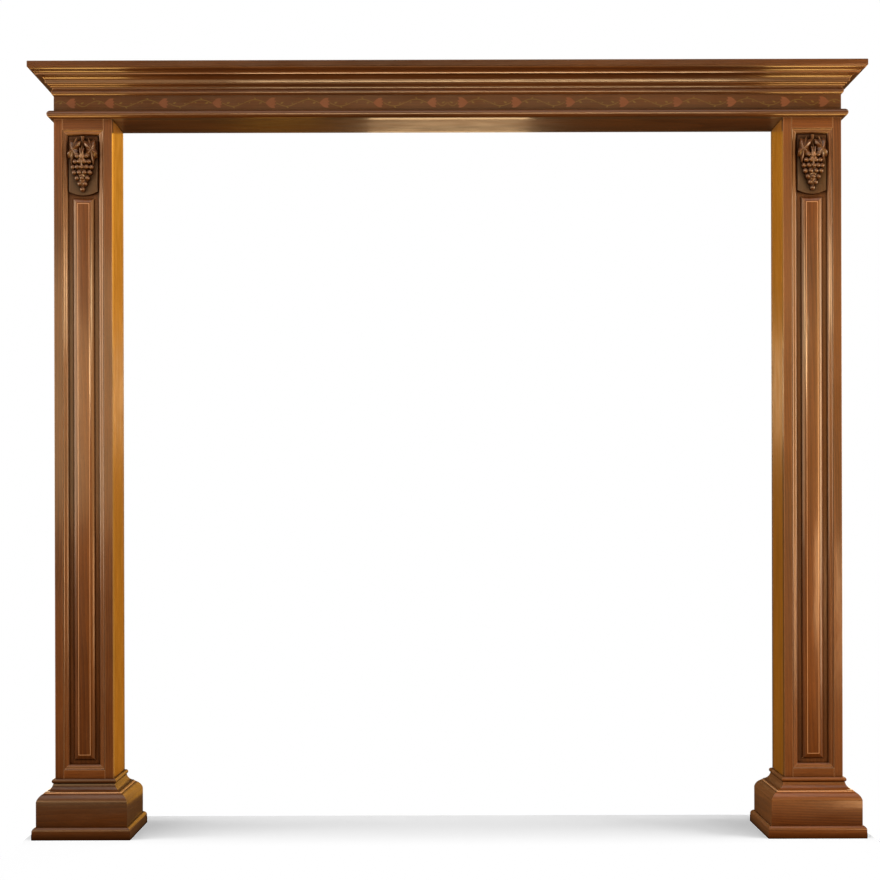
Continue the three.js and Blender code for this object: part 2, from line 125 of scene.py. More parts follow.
class PortalSizes(bpy.types.PropertyGroup):
    """Sizes of the portal's fine shapes"""
    arris: FloatProperty(
        name="Arris", description="Rounding of the boards' edges", default=0.9 * MM,
        unit="LENGTH")
    mould_arris: FloatProperty(
        name="Moulding arris", description="Rounding of the mouldings' corners",
        default=0.45 * MM, unit="LENGTH")
    field_rise: FloatProperty(
        name="Field rise", description="How far a panel's field stands out of its ground",
        default=12 * MM, unit="LENGTH")
    slope_width: FloatProperty(
        name="Slope width", description="Width of the rounded slopes round the field",
        default=18 * MM, unit="LENGTH")
    # The arris ring round the field carries a pale line: wear and painted highlight
    field_arris: FloatProperty(
        name="Field arris", description="Width of the rubbed arris round the field",
        default=1.7 * MM, unit="LENGTH")
    channel: FloatProperty(
        name="Channel", description="Flat ground between the moulding and the slope",
        default=15 * MM, unit="LENGTH")
    grape_radius: FloatProperty(
        name="Grape radius", description="Radius of one carved grape", default=8.8 * MM,
        unit="LENGTH")
    flower_pitch: FloatProperty(
        name="Flower pitch", description="Distance between two inlaid flowers",
        default=177.5 * MM, unit="LENGTH")
    arc_steps: IntProperty(
        name="Arc steps", description="Straight steps in each round stretch of a moulding",
        default=12, min=4, max=32)


class PortalColours(bpy.types.PropertyGroup):
    """Colours of the portal's stained and lacquered wood"""
    # 0.22 of this tone is the darkest mix in the hollows: glaze and painted shade
    dark: FloatVectorProperty(
        name="Dark walnut", description="Late wood and stain in the hollows",
        default=linear("#34190B"), subtype="COLOR", size=3)
    middle: FloatVectorProperty(
        name="Walnut", description="The usual tone of the stained wood",
        default=linear("#643B19"), subtype="COLOR", size=3)
    light: FloatVectorProperty(
        name="Light walnut", description="Early wood between the rings",
        default=linear("#895626"), subtype="COLOR", size=3)
    # Pale tone of crests and arrises: worn stain and painted highlight
    rubbed_highlight: FloatVectorProperty(
        name="Rubbed walnut", description="Crests and arrises where the stain is rubbed thin",
        default=linear("#BC9A80"), subtype="COLOR", size=3)
    # The gold tone is painted warm light on the reveal boards
    gold: FloatVectorProperty(
        name="Golden walnut", description="The paler boards that line the doorway",
        default=linear("#B8801C"), subtype="COLOR", size=3)
    rose: FloatVectorProperty(
        name="Rose wood", description="Inlaid flowers", default=linear("#663D2A"),
        subtype="COLOR", size=3)
    olive: FloatVectorProperty(
        name="Olive wood", description="Inlaid stems and leaves", default=linear("#5C4A20"),
        subtype="COLOR", size=3)


# Shapes

def swing(bm, vert, end, bulge, steps):
    """Turns a corner of an outline along an arc to the next corner"""
    start = vert.co.copy()
    run = end - start
    along = run.normalized()
    aside = Vector((along.z, 0, -along.x)) * math.copysign(1, bulge)
    rise = abs(bulge)
    radius = (run.length ** 2 / 4 + rise ** 2) / (2 * rise)
    centre = start + run / 2 - aside * (radius - rise)
    half = math.atan2(run.length / 2, radius - rise)
    crest = centre + aside * radius
    axis = (start - centre).cross(crest - centre).normalized()
    turned = bmesh.ops.spin(
        bm, geom=[vert], cent=centre, axis=axis, angle=2 * half, steps=steps)
    last = [part for part in turned["geom_last"] if isinstance(part, bmesh.types.BMVert)][0]
    last.co = end
    return last


def draw_outline(bm, corners, steps, ease):
    """Draws an outline in the XZ plane, eases its sharp corners and returns its face"""
    old = set(bm.verts)
    first = bm.verts.new((corners[0][0] * MM, 0, corners[0][1] * MM))
    last = first
    for out, rise, *bulge in corners[1:]:
        end = Vector((out * MM, 0, rise * MM))
        if bulge:
            last = swing(bm, last, end, bulge[0] * MM, steps)
        else:
            last = bmesh.ops.extrude_vert_indiv(bm, verts=[last])["verts"][0]
            last.co = end
    bm.edges.new((last, first))
    drawn = [vert for vert in bm.verts if vert not in old]
    rim = {edge for vert in drawn for edge in vert.link_edges}
    face = bmesh.ops.contextual_create(bm, geom=list(rim))["faces"][0]
    sharp = [vert for vert in drawn if turn_at(vert) > math.radians(25)]
    if ease:
        bmesh.ops.bevel(
            bm, geom=sharp, offset=ease, offset_type="OFFSET", segments=2, profile=0.5,
            affect="VERTICES", clamp_overlap=True, material=-1)
    return [new for new in bm.faces if not old.intersection(new.verts)][-1]


def turn_at(vert):
    """How much an outline turns at a corner"""
    one, two = [edge.other_vert(vert).co - vert.co for edge in vert.link_edges]
    return math.pi - one.angle(two)


def grow_length(bm, corners, run, mitre, steps, ease, capped=True):
    """A moulding along Y with mitred ends: its length grows with out where mitre is 1"""
    face = draw_outline(bm, corners, steps, ease)
    near = list(face.verts)
    grown = bmesh.ops.extrude_face_region(bm, geom=[face])["geom"]
    far = [part for part in grown if isinstance(part, bmesh.types.BMVert)]
    ends = [face] + [part for part in grown if isinstance(part, bmesh.types.BMFace)]
    for verts, end in ((near, -1), (far, 1)):
        shear = Matrix.Identity(4)
        shear[1][0] = end * mitre
        shear[1][3] = end * run / 2
        bmesh.ops.transform(bm, matrix=shear, verts=verts)
    if not capped:
        caps = [cap for cap in ends if cap.is_valid and len(cap.verts) == len(near)]
        bmesh.ops.delete(bm, geom=caps, context="FACES_ONLY")
    return near + far


def seat(bm, verts, out, rise, middle):
    """Moves a length from its drawing place to where it is planted"""
    along = rise.cross(out)
    turn = Matrix((out, along, rise)).transposed().to_4x4()
    turn.translation = middle
    bmesh.ops.transform(bm, matrix=turn, verts=verts)


def lay_grain(bm, along, board, faces=None):
    """Writes where each corner lies in the log that a board is sawn from, X along the grain"""
    chance = random.Random(board)
    layer = bm.loops.layers.float_vector.get("grain")
    if layer is None:
        layer = bm.loops.layers.float_vector.new("grain")
    across = UPRIGHT if abs(along.z) < 0.5 else ACROSS
    basis = Matrix((along, across, along.cross(across)))
    lean = Matrix.Rotation(math.radians(chance.uniform(-2.2, 2.2)), 3, "Y")
    lean = lean @ Matrix.Rotation(math.radians(chance.uniform(-2.2, 2.2)), 3, "Z")
    shift = Vector((chance.uniform(0, 40), chance.uniform(0.05, 0.3), chance.uniform(-0.1, 0.1)))
    for face in faces or bm.faces:
        for loop in face.loops:
            loop[layer] = lean @ (basis @ loop.vert.co) + shift


def hand_over(bm, node, finishes, smooth=True):
    """Makes the piece that stands for a CAD node, in the woods given, and frees its bmesh"""
    bmesh.ops.recalc_face_normals(bm, faces=bm.faces[:])
    mesh = bpy.data.meshes.new(f"finished_{node}")
    bm.to_mesh(mesh)
    bm.free()
    if smooth:
        mesh.shade_smooth()
        mesh.set_sharp_from_angle(angle=math.radians(24))
    for finish in finishes:
        mesh.materials.append(bpy.data.materials[finish])
    piece = bpy.data.objects.new(f"finished_{node}", mesh)
    bpy.context.scene.collection.objects.link(piece)
    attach(piece, "root")
    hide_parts(node)


def grow_board(bm, low, high, ease):
    """A sawn board between two corners, with eased edges"""
    verts = bmesh.ops.create_cube(bm, size=1)["verts"]
    bmesh.ops.scale(bm, vec=high - low, verts=verts)
    bmesh.ops.translate(bm, vec=(high + low) / 2, verts=verts)
    edges = {edge for vert in verts for edge in vert.link_edges}
    bmesh.ops.bevel(
        bm, geom=list(edges), offset=ease, offset_type="OFFSET", segments=2, profile=0.5,
        affect="EDGES", clamp_overlap=True, material=-1)


# Woods

def add_node(tree, kind, settings=None, inputs=None):
    """Adds a shader node with its settings; an input is a number, a colour or a socket"""
    node = tree.nodes.new(kind)
    for field, value in (settings or {}).items():
        setattr(node, field, value)
    for place, value in (inputs or {}).items():
        if isinstance(value, bpy.types.NodeSocket):
            tree.links.new(value, node.inputs[place])
        else:
            node.inputs[place].default_value = value
    return node


def lacquered_wood(name, tones, ring_mm, lacquer, glaze_and_shade, wear_and_highlight):
    """Stained solid wood under lacquer: growth rings, fibre streaks and open pores run along
    the grain; dark glazing and painted shade lie in the hollows, and the crests are worn paler and
    carry painted highlights"""
    wood = bpy.data.materials.new(name)
    wood.use_nodes = True
    tree = wood.node_tree
    tree.nodes.clear()
    # The fourth tone is the pale of crests (wear and painted highlight); the darkest is the glaze
    # and painted shade of hollows
    dark, middle, light, pale = [(*colour, 1) for colour in tones]
    deepest = (*(0.22 * share for share in dark[:3]), 1)
    grain = add_node(tree, "ShaderNodeAttribute", {"attribute_name": "grain"}).outputs["Vector"]

    # Noises drawn out along the grain, with their repeats per metre along it and across
    noises = {}
    for use, repeats, detail, rough in (
            # Clouds of stain about 1 m long and 120 mm wide
            ("cloud", (1.1, 9, 9), 3.0, 0.55),
            # Growth rings wander by about 10 mm over half a metre
            ("wander", (2.2, 14, 14), 2.0, 0.5),
            # Fibres about 2 mm wide and 80 mm long
            ("fibre", (12, 420, 420), 4.0, 0.62),
            # Pores are 0.2 mm wide in the wood and are drawn about 0.7 mm wide, so that they show
            ("pore", (50, 1400, 1400), 1.0, 0.5),
            # The film of lacquer ripples over 110 mm along the grain and 30 mm across
            ("ripple", (9, 30, 30), 2.0, 0.5)):
        stretched = add_node(tree, "ShaderNodeVectorMath", {"operation": "MULTIPLY"}, {
            0: grain, 1: repeats}).outputs[0]
        noises[use] = add_node(tree, "ShaderNodeTexNoise", {}, {
            "Vector": stretched, "Scale": 1.0, "Detail": detail, "Roughness": rough}).outputs
    fibre, ripple = noises["fibre"][0], noises["ripple"][0]

    drift = add_node(tree, "ShaderNodeVectorMath", {"operation": "MULTIPLY_ADD"}, {
        0: noises["wander"]["Color"], 1: (0.02, 0.02, 0.02), 2: grain}).outputs[0]
    rings = add_node(tree, "ShaderNodeTexWave", {
        "wave_type": "RINGS", "rings_direction": "X", "wave_profile": "SAW"}, {
        "Vector": drift, "Scale": 0.314 / (ring_mm * MM), "Distortion": 0.0}).outputs[0]
    ring = add_node(tree, "ShaderNodeMath", {"operation": "MULTIPLY"}, {
        0: rings, 1: 0.26}).outputs[0]
    # Occlusion masks: hollows, for glaze and painted shade; crests, for wear and painted highlight
    hollow, crest = [
        add_node(tree, "ShaderNodeAmbientOcclusion", {"samples": 4, "inside": inside}, {
            "Distance": reach * MM}).outputs["AO"] for inside, reach in ((False, 24), (True, 3))]

    # How much of each shows: where a noise lies between two values, from one share to another
    shares = {}
    for use, value, low, high, start, end in (
            ("pore", noises["pore"][0], 0.6, 0.68, 0.0, 0.55),
            ("stain", noises["cloud"][0], 0.3, 0.62, 0.0, 1.0),
            ("fibre", fibre, 0.35, 0.7, 0.0, 0.38),
            # Dark glazing and painted shade in quirks and hollows; crests worn paler, with painted
            # highlight
            ("glaze_and_shade", hollow, 0.48, 0.94, glaze_and_shade, 0.0),
            ("rub_and_highlight", crest, 0.5, 0.86, wear_and_highlight, 0.0),
            ("dull", ripple, 0.3, 0.7, 0.3, 0.44)):
        shares[use] = add_node(tree, "ShaderNodeMapRange", {}, {
            "Value": value, "From Min": low, "From Max": high, "To Min": start,
            "To Max": end}).outputs[0]
    # The mixes end with the glaze and painted shade in hollows, then the pale tone on crests as
    # wear and painted highlight
    colour = dark
    for share, tone in (
            (shares["stain"], middle), (ring, light), (shares["fibre"], dark),
            (shares["pore"], dark), (shares["glaze_and_shade"], deepest), (shares["rub_and_highlight"], pale)):
        colour = add_node(tree, "ShaderNodeMix", {"data_type": "RGBA"}, {
            "Factor": share, 6: colour, 7: tone}).outputs[2]

    relief = add_node(tree, "ShaderNodeMath", {"operation": "MULTIPLY_ADD"}, {
        0: shares["pore"], 1: -1.0, 2: fibre}).outputs[0]
    surface, film = [
        add_node(tree, "ShaderNodeBump", {}, {
            "Strength": strength, "Distance": rise * MM, "Height": height}).outputs[0]
        for strength, rise, height in ((0.3, 0.25, relief), (0.5, 0.9, ripple))]

    # The glazing and painted shade in the hollows also dull the lacquer there
    clear = add_node(tree, "ShaderNodeMath", {"operation": "SUBTRACT", "use_clamp": True}, {
        0: 1.0, 1: shares["glaze_and_shade"]}).outputs[0]
    coat, shine = [
        add_node(tree, "ShaderNodeMath", {"operation": "MULTIPLY"}, {
            0: clear, 1: most}).outputs[0] for most in (lacquer, 0.45)]
    shader = add_node(tree, "ShaderNodeBsdfPrincipled", {}, {
        "Base Color": colour, "Roughness": shares["dull"], "Normal": surface, "Coat Normal": film,
        "IOR": 1.5, "Specular IOR Level": shine, "Coat Weight": coat,
        "Coat Roughness": 0.13, "Coat IOR": 1.5})
    add_node(tree, "ShaderNodeOutputMaterial", {}, {"Surface": shader.outputs[0]})


class PORTAL_OT_woods(bpy.types.Operator):
    """Mixes the stained and lacquered woods"""
    bl_idname = "portal.woods"
    bl_label = "Woods"

    def execute(self, context):
        tones = context.scene.portal_colours
        usual = (tones.dark, tones.middle, tones.light, tones.rubbed_highlight)

        # Name, lightness, distance of the rings in mm, lacquer, glaze with painted shade, and wear
        # with painted highlight
        for name, lightness, *rest in (
                # Straight-grained European walnut, stained, sprayed with gloss lacquer and
                # polished: even brown, finely streaked, with a clear sheen
                ("lacquered_walnut", 1.12, 9, 0.75, 0.85, 0.5),
                # Crown-cut walnut of the panels: the same with a broad figure
                ("figured_walnut", 1.15, 14, 0.75, 0.9, 0.5),
                # Run mouldings: glazing and painted shade in the quirks, beads worn paler with
                # painted highlight
                ("moulded_walnut", 1.2, 7, 1.0, 0.95, 0.3),
                # Cornice and astragal: painted shade, the wood darkened for the lower light on the
                # head; less glazing in the hollows, thin pale crest lines of wear and painted
                # highlight
                ("cornice_walnut", 0.64, 7, 0.85, 0.35, 0.3),
                # The cornice's drip edge: a paler line, a painted highlight along it
                ("drip_walnut", 1.25, 7, 0.85, 0.2, 0.0),
                # The ground of the inlay: painted shade, the wood darkened for the lower light on
                # the head; calm behind the flowers
                ("frieze_walnut", 0.54, 9, 0.75, 0.7, 0.3),
                # The soffit: satin, and it mirrors what is behind the doorway; its lighter tone is
                # painted light, standing in for light thrown up from the floor
                ("soffit_walnut", 1.35, 11, 0.1, 0.4, 0.3),
                # Carved walnut: glazing and painted shade darkest in the cuts, crests worn paler
                # with painted highlight, and glossy
                ("carved_walnut", 0.66, 8, 1.0, 0.95, 0.45),
                # The board behind a carving: painted shade, made almost black for the shadow in the
                # niche, and left dull
                ("dark_walnut", 0.4, 9, 0.05, 0.9, 0.0),
                # The two plinths: painted light and shade, the left's wood darkened and the right's
                # lightened for the light that falls on each
                ("left_plinth_walnut", 0.58, 9, 0.7, 0.8, 0.0),
                ("right_plinth_walnut", 1.3, 9, 0.7, 0.8, 0.0),
                # Plain walnut at the back, under a thinner coat: duller
                ("plain_walnut", 0.92, 10, 0.35, 0.6, 0.4)):
            lacquered_wood(name, [Vector(tone) * lightness for tone in usual], *rest)

        # Arrises: a thin pale line, worn through the stain and a painted highlight
        lacquered_wood("rubbed_walnut", self.shade(tones.rubbed_highlight, (1.05,) * 4), 9, 1.0, 0.0, 0.0)
        # Golden walnut of the reveals: its honey yellow is painted warm light on the boards; satin,
        # closest to a mirror
        gold = self.shade(tones.gold, (0.55, 0.9, 1.15)) + [tones.rubbed_highlight]
        lacquered_wood("golden_walnut", gold, 11, 0.1, 0.4, 0.3)
        # Inlay woods, cut from veneer and polished flush with the frieze: fine and even
        for name, tone in (("inlaid_rose_wood", tones.rose), ("inlaid_olive_wood", tones.olive)):
            lacquered_wood(name, self.shade(tone, (0.7, 1, 1.2, 1)), 4, 0.75, 0.0, 0.0)
        return {"FINISHED"}

    def shade(self, tone, shares):
        """One tone made darker and lighter"""
        return [Vector(tone) * share for share in shares]


class PORTAL_OT_boards(bpy.types.Operator):
    """Planes the stiles, rails and boards that box in the posts and the head"""
    bl_idname = "portal.boards"
    bl_label = "Boards"

    def execute(self, context):
        ease = context.scene.portal_sizes.arris
        boards = []
        for side, _ in SIDES:
            for place in ("outer_stile", "inner_stile"):
                boards.append((f"{side}_post_{place}", UPRIGHT, "lacquered_walnut"))
            for place in ("bottom_rail", "top_rail"):
                boards.append((f"{side}_post_{place}", ACROSS, "lacquered_walnut"))
            boards.append((f"{side}_post_reveal_board", UPRIGHT, "golden_walnut"))
            boards.append((f"{side}_post_outer_board", UPRIGHT, "lacquered_walnut"))
            boards.append((f"{side}_post_back_board", UPRIGHT, "plain_walnut"))
            boards.append((f"head_{side}_end_board", DEEP, "frieze_walnut"))
        boards.append(("head_back_frieze_board", ACROSS, "plain_walnut"))
        boards.append(("head_soffit_board", ACROSS, "soffit_walnut"))
        for node, along, finish in boards:
            bm = bmesh.new()
            grow_board(bm, *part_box(node), ease)
            lay_grain(bm, along, node)
            hand_over(bm, node, [finish], smooth=False)
        return {"FINISHED"}


class PORTAL_OT_cap(bpy.types.Operator):
    """Planes the board on top of the cornice"""
    bl_idname = "portal.cap"
    bl_label = "Cap board"

    def execute(self, context):
        bm = bmesh.new()
        grow_board(bm, *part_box("head_cap_board"), 2 * MM)
        lay_grain(bm, ACROSS, "head_cap_board")
        hand_over(bm, "head_cap_board", ["cornice_walnut"], smooth=False)
        return {"FINISHED"}


class PORTAL_OT_frame_mouldings(bpy.types.Operator):
    """Runs the hollow strip and bead round the opening of each post's frame"""
    bl_idname = "portal.frame_mouldings"
    bl_label = "Frame mouldings"

    def execute(self, context):
        sizes = context.scene.portal_sizes
        tall = (OPENING_TOP - OPENING_FOOT) * MM
        wide = (POST_WIDTH - 2 * STILE_WIDTH) * MM
        for side, hand in SIDES:
            middle = Vector((hand * POST_X, GROUND_Y, (OPENING_TOP + OPENING_FOOT) / 2)) * MM
            lengths = (
                ("outer", -hand * ACROSS, tall, wide / 2), ("inner", hand * ACROSS, tall, wide / 2),
                ("bottom", UPRIGHT, wide, tall / 2), ("top", -UPRIGHT, wide, tall / 2),
            )
            for place, out, run, away in lengths:
                bm = bmesh.new()
                verts = grow_length(bm, FRAME_MOULD, run - GAP * MM, -1, sizes.arc_steps, 0)
                seat(bm, verts, out, -DEEP, middle - out * away)
                node = f"{side}_post_{place}_moulding"
                lay_grain(bm, UPRIGHT if abs(out.x) > 0.5 else ACROSS, node)
                hand_over(bm, node, ["moulded_walnut"])
        return {"FINISHED"}


class PORTAL_OT_head_mouldings(bpy.types.Operator):
    """Runs the astragal, the bed moulding and the crown moulding round the head"""
    bl_idname = "portal.head_mouldings"
    bl_label = "Head mouldings"

    def execute(self, context):
        sizes = context.scene.portal_sizes
        half_wide = POST_X + POST_WIDTH / 2
        half_deep = POST_DEPTH / 2
        faces = (
            ("front", -DEEP, half_wide, half_deep), ("back", DEEP, half_wide, half_deep),
            ("left", -ACROSS, half_deep, half_wide), ("right", ACROSS, half_deep, half_wide),
        )
        courses = (
            ("astragal", ASTRAGAL, GAP), ("bed_mould", BED_MOULD, 0),
            ("crown_mould", CROWN_MOULD, GAP),
        )
        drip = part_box("front_crown_mould")[0].z + DRIP_RISE * MM
        for course, corners, lift in courses:
            for place, out, half_run, away in faces:
                node = f"{place}_{course}"
                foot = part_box(node)[0].z - lift * MM
                bm = bmesh.new()
                verts = grow_length(
                    bm, corners, 2 * half_run * MM - GAP * MM, 1, sizes.arc_steps,
                    sizes.mould_arris)
                seat(bm, verts, out, UPRIGHT, out * away * MM + UPRIGHT * foot)
                lay_grain(bm, DEEP if abs(out.x) > 0.5 else ACROSS, node)
                # The drip edge's faces get the paler line: a painted highlight
                for face in bm.faces:
                    if abs(face.calc_center_median().z - drip) < 1.9 * MM:
                        face.material_index = 1
                hand_over(bm, node, ["cornice_walnut", "drip_walnut"])
        return {"FINISHED"}


class PORTAL_OT_plinths(bpy.types.Operator):
    """Mitres the four courses of each plinth round the foot of its post"""
    bl_idname = "portal.plinths"
    bl_label = "Plinths"

    def execute(self, context):
        sizes = context.scene.portal_sizes
        courses = (
            ("plinth_block", PLINTH_BLOCK), ("plinth_base_mould", PLINTH_BASE),
            ("plinth_cap_mould", PLINTH_CAP), ("plinth_neck_bead", PLINTH_NECK),
        )
        for side, hand in SIDES:
            for course, corners in courses:
                node = f"{side}_{course}"
                bm = bmesh.new()
                for place, out, half_run, away in (
                        ("front", -DEEP, POST_WIDTH / 2, POST_DEPTH / 2),
                        ("back", DEEP, POST_WIDTH / 2, POST_DEPTH / 2),
                        ("left", -ACROSS, POST_DEPTH / 2, POST_WIDTH / 2),
                        ("right", ACROSS, POST_DEPTH / 2, POST_WIDTH / 2)):
                    old = set(bm.faces)
                    verts = grow_length(
                        bm, corners, 2 * half_run * MM, 1, sizes.arc_steps, sizes.mould_arris,
                        capped=False)
                    seat(bm, verts, out, UPRIGHT, (out * away + ACROSS * hand * POST_X) * MM)
                    new = [face for face in bm.faces if face not in old]
                    along = DEEP if abs(out.x) > 0.5 else ACROSS
                    lay_grain(bm, along, f"{node}_{place}", new)
                bmesh.ops.remove_doubles(bm, verts=bm.verts[:], dist=0.02 * MM)
                # The nose band gets the pale line: wear and painted highlight
                for face in bm.faces:
                    if NOSE_RISE[0] * MM < face.calc_center_median().z < NOSE_RISE[1] * MM:
                        face.material_index = 1
                hand_over(bm, node, [f"{side}_plinth_walnut", "rubbed_walnut"])
        return {"FINISHED"}


class PORTAL_OT_panels(bpy.types.Operator):
    """Raises and fields the tall panel of each post"""
    bl_idname = "portal.panels"
    bl_label = "Raised panels"

    def execute(self, context):
        sizes = context.scene.portal_sizes
        for side, _ in SIDES:
            node = f"{side}_post_raised_panel"
            low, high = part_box(node)
            front = GROUND_Y * MM
            low.y = front
            bm = bmesh.new()
            verts = bmesh.ops.create_cube(bm, size=1)["verts"]
            bmesh.ops.scale(bm, vec=high - low, verts=verts)
            bmesh.ops.translate(bm, vec=(high + low) / 2, verts=verts)
            field = min(bm.faces, key=lambda face: face.calc_center_median().y)
            margin = MOULD_WIDTH * MM + sizes.channel - GAP * MM
            bmesh.ops.inset_region(bm, faces=[field], thickness=margin, use_even_offset=True)
            head = [vert for vert in field.verts if vert.co.z > (low.z + high.z) / 2]
            drop = OPENING_TOP * MM - FIELD_HEAD_DROP * MM - head[0].co.z
            bmesh.ops.translate(bm, vec=(0, 0, drop), verts=head)
            rubbed_highlight = sizes.field_arris
            # The slope starts steep and flattens towards the field
            foot_width, foot_rise = 0.22 * sizes.slope_width, 0.52 * sizes.field_rise
            rises = self.slope(foot_width, foot_rise, 0.9 * MM)
            rises += self.slope(
                sizes.slope_width - foot_width - rubbed_highlight,
                sizes.field_rise - foot_rise - 0.3 * rubbed_highlight, 0.5 * MM)
            arris = [(0.4 * rubbed_highlight, 0.2 * rubbed_highlight), (0.6 * rubbed_highlight, 0.1 * rubbed_highlight)]
            for across, up in rises + arris:
                if (across, up) == arris[0]:
                    plain = set(bm.faces)
                bmesh.ops.inset_region(
                    bm, faces=[field], thickness=across, depth=0, use_even_offset=True)
                bmesh.ops.translate(bm, vec=(0, -up, 0), verts=list(field.verts))
            # The arris ring gets the pale line, wear and painted highlight; the rest stays figured
            # walnut
            for face in bm.faces:
                face.material_index = 0 if face in plain else 1
            lay_grain(bm, UPRIGHT, node)
            hand_over(bm, node, ["figured_walnut", "rubbed_walnut"])
        return {"FINISHED"}

    def slope(self, wide, rise, bulge, steps=6):
        """Steps across and up an arc that swells between the foot and the head of a slope"""
        chord = math.hypot(wide, rise)
        radius = (chord ** 2 / 4 + bulge ** 2) / (2 * bulge)
        half = math.atan2(chord / 2, radius - bulge)
        places = []
        for step in range(steps + 1):
            angle = -half + 2 * half * step / steps
            along = chord / 2 + radius * math.sin(angle)
            aside = radius * math.cos(angle) - (radius - bulge)
            places.append((
                (along * wide - aside * rise) / chord, (along * rise + aside * wide) / chord))
        pairs = zip(places, places[1:])
        return [(after[0] - before[0], after[1] - before[1]) for before, after in pairs]


class PORTAL_OT_plaques(bpy.types.Operator):
    """Cuts the plaque with a rounded foot behind each carving"""
    bl_idname = "portal.plaques"
    bl_label = "Plaques"

    def execute(self, context):
        for side, hand in SIDES:
            node = f"{side}_post_capital_plaque"
            low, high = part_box(node)
            half = (high.x - low.x) / 2 / MM
            foot, top = low.z / MM, high.z / MM
            sag = 13
            corners = (
                (-half, foot + sag), (half, foot + sag, sag), (half, top), (-half, top),
            )
            bm = bmesh.new()
            face = draw_outline(bm, corners, 32, 0)
            grown = bmesh.ops.extrude_face_region(bm, geom=[face])["geom"]
            verts = [part for part in grown if isinstance(part, bmesh.types.BMVert)]
            bmesh.ops.translate(bm, vec=(0, high.y - low.y, 0), verts=verts)
            bmesh.ops.translate(bm, vec=(hand * POST_X * MM, low.y, 0), verts=bm.verts[:])
            rim = [edge for edge in bm.edges if max(v.co.y for v in edge.verts) < low.y + 1e-6]
            bmesh.ops.bevel(
                bm, geom=rim, offset=2.5 * MM, offset_type="OFFSET", segments=4, profile=0.5,
                affect="EDGES", clamp_overlap=True, material=-1)
            lay_grain(bm, UPRIGHT, node)
            hand_over(bm, node, ["dark_walnut"])
        return {"FINISHED"}


